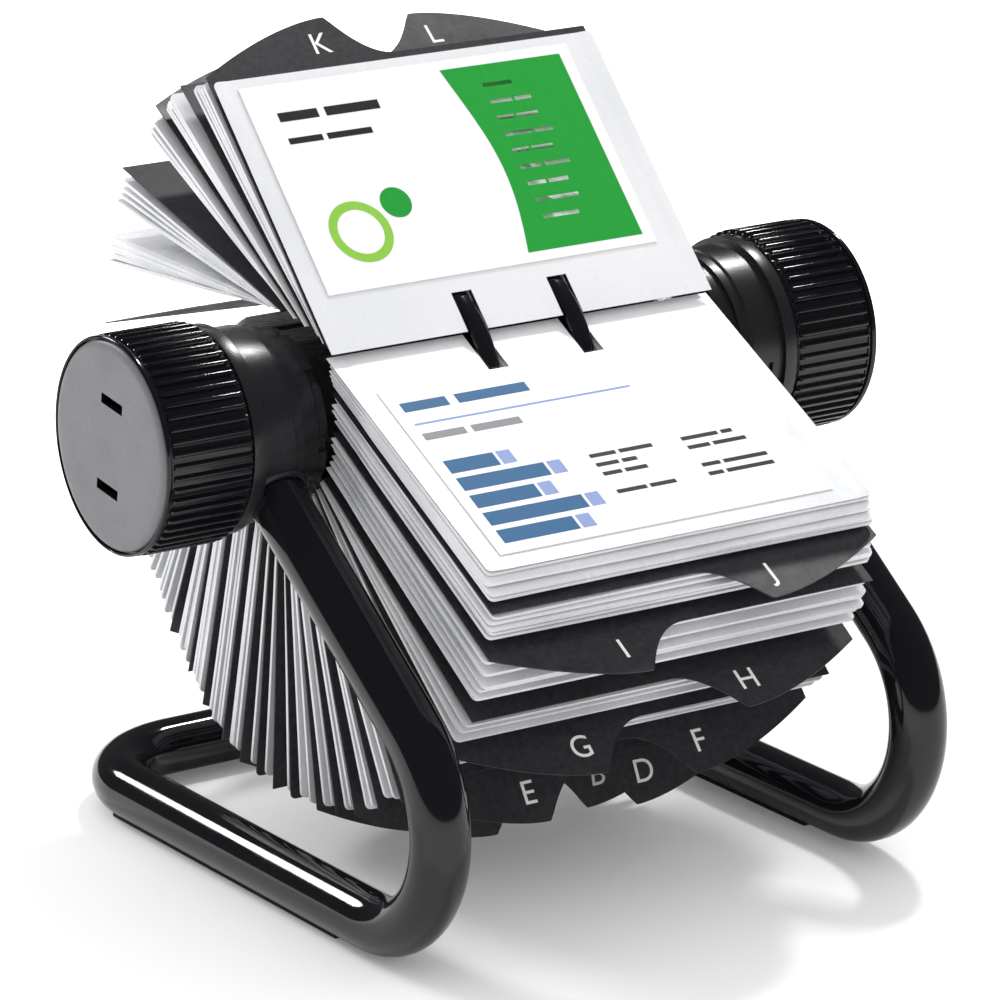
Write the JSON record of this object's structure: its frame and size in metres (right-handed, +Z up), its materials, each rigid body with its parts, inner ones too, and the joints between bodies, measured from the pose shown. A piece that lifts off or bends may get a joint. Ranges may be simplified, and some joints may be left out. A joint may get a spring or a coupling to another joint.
{
  "type": "rotary card file",
  "caption": "Desk rotary card file: a bent tube stand carries a knob-turned wheel of clear business card sleeves and lettered index dividers on two hoops.",
  "frame": {"origin": "on the floor, at the centre of the bounding box's bottom", "axes": "+X along the wheel's axle to the right knob, +Y to the back, +Z up; the open sleeves face -Y and up"},
  "size_m": [0.196, 0.1848, 0.1887],
  "materials": {
    "tube_black": "gloss black lacquer on bent steel tube",
    "rubber": "matt black rubber",
    "satin_black": "satin black moulded plastic",
    "gloss_black": "gloss black moulded plastic",
    "cap_grey": "fine satin grey plastic",
    "steel": "bright ground steel rod",
    "bearing_plastic": "natural white bearing plastic",
    "clear_film": "frosted clear film with a soft shine",
    "sleeve_pack": "stacked clear sleeves with white cards in them",
    "card_white": "smooth white card",
    "divider_black": "fine matt dark grey plastic sheet"
  },
  "bodies": {
    "stand": {"frame_tube": "tube_black", "left_foot_strip": "rubber", "right_foot_strip": "rubber", "left_housing": "satin_black", "right_housing": "satin_black", "left_bush": "bearing_plastic", "right_bush": "bearing_plastic"},
    "wheel": {"axle": "steel", "drum_core": "satin_black", "left_side_disc": "satin_black", "right_side_disc": "satin_black", "left_hoop": "gloss_black", "right_hoop": "gloss_black", "left_knob": "gloss_black", "right_knob": "gloss_black", "left_knob_cap": "cap_grey", "right_knob_cap": "cap_grey", "index_divider_A": "divider_black", "index_divider_B": "divider_black", "index_divider_C": "divider_black", "index_divider_D": "divider_black", "index_divider_E": "divider_black", "index_divider_F": "divider_black", "index_divider_G": "divider_black", "index_divider_H": "divider_black", "index_divider_I": "divider_black", "index_divider_J": "divider_black", "index_divider_K": "divider_black", "index_divider_L": "divider_black", "index_divider_M": "divider_black", "index_divider_N": "divider_black", "index_divider_O": "divider_black", "index_divider_PQ": "divider_black", "index_divider_R": "divider_black", "index_divider_S": "divider_black", "index_divider_T": "divider_black", "index_divider_UV": "divider_black", "index_divider_W": "divider_black", "index_divider_XYZ": "divider_black", "sleeve_block_F": "sleeve_pack", "sleeve_block_G": "sleeve_pack", "sleeve_block_H": "sleeve_pack", "sleeve_block_I": "sleeve_pack", "sleeve_block_J": "sleeve_pack", "sleeve_block_K": "sleeve_pack", "sleeve_block_L": "sleeve_pack", "sleeve_block_M": "sleeve_pack", "sleeve_block_N": "sleeve_pack", "sleeve_block_O": "sleeve_pack", "sleeve_block_PQ": "sleeve_pack", "sleeve_block_R": "sleeve_pack", "sleeve_block_S": "sleeve_pack", "sleeve_block_T": "sleeve_pack", "sleeve_block_UV": "sleeve_pack", "sleeve_block_W": "sleeve_pack", "sleeve_block_XYZ": "sleeve_pack"},
    "upper_leaf": {"upper_sleeve": "clear_film", "upper_name_card": "card_white"},
    "lower_leaf": {"lower_sleeve": "clear_film", "lower_name_card": "card_white"}
  },
  "joints": [
    {"name": "wheel_spin", "type": "hinge", "parent": "stand", "child": "wheel", "pos_m": [0, 0.00108, 0.1084], "axis": [1, 0, 0], "continuous": true},
    {"name": "upper_sleeve_flip", "type": "hinge", "parent": "wheel", "child": "upper_leaf", "pos_m": [0, -0.01902, 0.12694], "axis": [1, 0, 0], "range_deg": [0, 158]},
    {"name": "lower_sleeve_flip", "type": "hinge", "parent": "wheel", "child": "lower_leaf", "pos_m": [0, -0.01902, 0.12694], "axis": [1, 0, 0], "range_deg": [-158, 0]}
  ]
}
